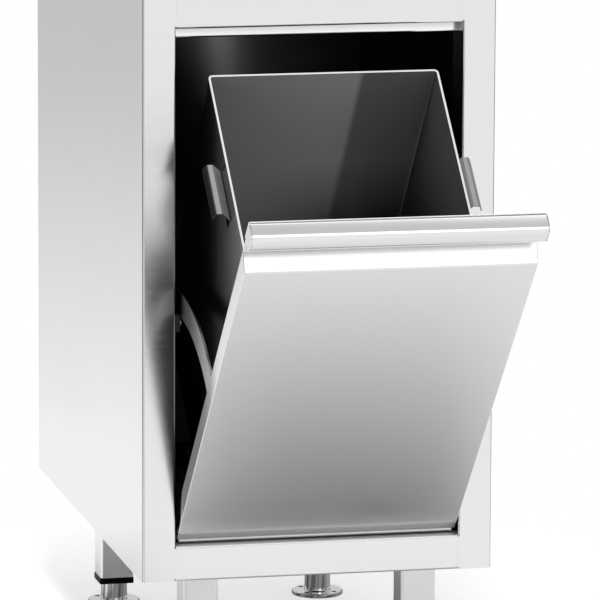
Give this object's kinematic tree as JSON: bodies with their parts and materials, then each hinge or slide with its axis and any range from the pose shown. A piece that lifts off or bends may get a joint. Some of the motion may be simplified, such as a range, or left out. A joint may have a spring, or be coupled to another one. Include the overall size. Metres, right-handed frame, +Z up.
{
  "type": "waste bin cabinet",
  "caption": "Stainless-steel waste bin cabinet on square legs with adjustable flanged feet; its front tilts out on a bottom hinge and carries a lift-out bin.",
  "frame": {"origin": "on the floor, in the middle of the box round the cabinet and its open front", "axes": "+Z up, -Y out of the front, +X to the right as seen from the front"},
  "size_m": [0.4, 1.0396, 0.85],
  "materials": {
    "steel": "fine brushed",
    "bright_steel": "satin bright",
    "black_plastic": "moulded",
    "white_plastic": "moulded",
    "rubber": "matte"
  },
  "bodies": {
    "cabinet": {"back_panel": "steel", "bottom_rail": "steel", "floor_panel": "steel", "floor_stiffener": "steel", "front_stop_strip": "steel", "hinge_pin_left": "bright_steel", "hinge_pin_right": "bright_steel", "hinge_washer_left": "black_plastic", "hinge_washer_right": "black_plastic", "leg_front_left": "steel", "leg_front_right": "steel", "leg_insert_front_left": "black_plastic", "leg_insert_front_right": "black_plastic", "leg_insert_rear_left": "black_plastic", "leg_insert_rear_right": "black_plastic", "leg_plate_front_left": "steel", "leg_plate_front_right": "steel", "leg_plate_rear_left": "steel", "leg_plate_rear_right": "steel", "leg_rear_left": "steel", "leg_rear_right": "steel", "side_panel_left": "steel", "side_panel_right": "steel", "stop_block_left": "steel", "stop_block_right": "steel", "stop_buffer_left": "rubber", "stop_buffer_right": "rubber", "stop_screw_left": "bright_steel", "stop_screw_right": "bright_steel", "top_panel": "steel", "top_rail": "steel"},
    "front": {"front_skin": "steel", "front_inner_panel": "steel", "pull_grip": "steel", "grip_end_left": "steel", "grip_end_right": "steel", "hinge_block_left": "white_plastic", "hinge_block_right": "white_plastic", "stay_arm_left": "bright_steel", "stay_arm_right": "bright_steel", "carrier_base": "steel", "carrier_cheek_left": "steel", "carrier_cheek_right": "steel", "carrier_rivet_left": "bright_steel", "carrier_rivet_middle": "bright_steel", "carrier_rivet_right": "bright_steel", "bin_rest_rail": "steel"},
    "bin": {"bin_shell": "steel", "bin_handle_left": "steel", "bin_handle_right": "steel"},
    "adjuster_front_left": {"foot_front_left": "bright_steel"},
    "adjuster_front_right": {"foot_front_right": "bright_steel"},
    "adjuster_rear_left": {"foot_rear_left": "bright_steel"},
    "adjuster_rear_right": {"foot_rear_right": "bright_steel"}
  },
  "joints": [
    {"name": "front_tilt", "type": "hinge", "parent": "cabinet", "child": "front", "pos_m": [0, -0.12418, 0.206], "axis": [1, 0, 0], "range_deg": [-44.5, 0]},
    {"name": "bin_lift", "type": "slide", "parent": "front", "child": "bin", "axis": [0, -0.6521, 0.7581], "range_m": [0, 0.15]},
    {"name": "foot_screw_front_left", "type": "slide", "parent": "cabinet", "child": "adjuster_front_left", "axis": [0, 0, 1], "range_m": [-0.025, 0]},
    {"name": "foot_screw_front_right", "type": "slide", "parent": "cabinet", "child": "adjuster_front_right", "axis": [0, 0, 1], "range_m": [-0.025, 0]},
    {"name": "foot_screw_rear_left", "type": "slide", "parent": "cabinet", "child": "adjuster_rear_left", "axis": [0, 0, 1], "range_m": [-0.025, 0]},
    {"name": "foot_screw_rear_right", "type": "slide", "parent": "cabinet", "child": "adjuster_rear_right", "axis": [0, 0, 1], "range_m": [-0.025, 0]}
  ]
}
